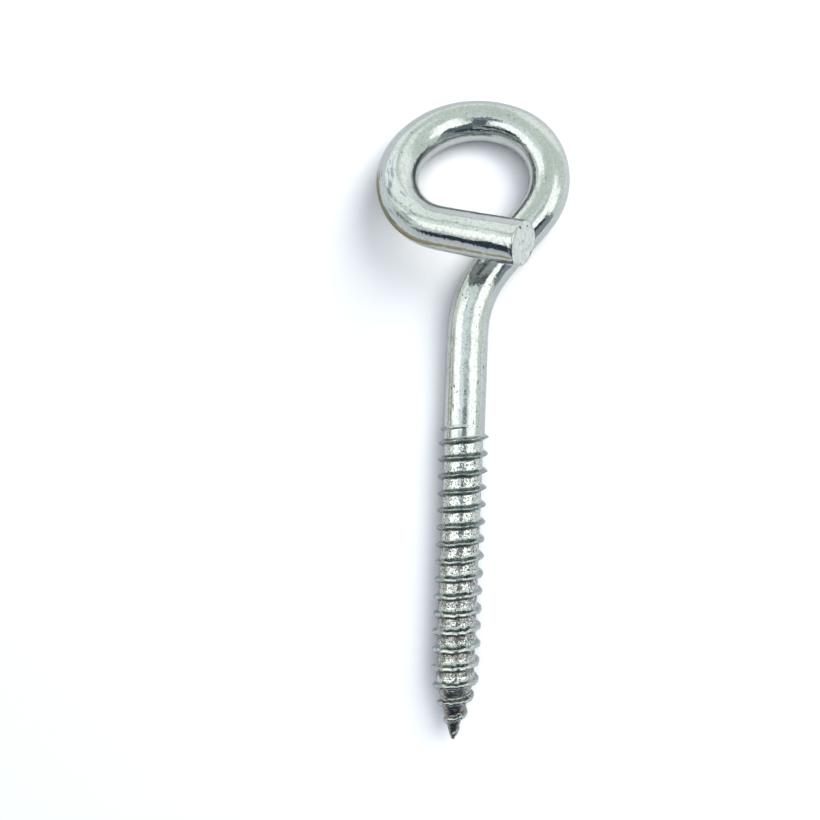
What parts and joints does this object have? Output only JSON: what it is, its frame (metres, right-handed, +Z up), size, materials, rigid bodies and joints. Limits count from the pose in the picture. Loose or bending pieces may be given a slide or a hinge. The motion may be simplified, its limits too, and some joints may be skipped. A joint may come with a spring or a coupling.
{
  "type": "screw eye",
  "caption": "Bright zinc-plated steel screw eye: a bent rod with an open, climbing pigtail eye and a right-handed wood thread with a gimlet point.",
  "frame": {"origin": "on the surface that the screw eye lies on, under the middle of its bounding box", "axes": "+Y along the screw axis from the point to the eye, +Z up from the surface that it lies on, +X to the right"},
  "size_m": [0.048, 0.1558, 0.0389],
  "materials": {
    "bright_zinc": "bright zinc plating, glossy on the bent rod and pitted in the thread"
  },
  "bodies": {
    "root": {"screw_eye": "bright_zinc"}
  },
  "joints": []
}
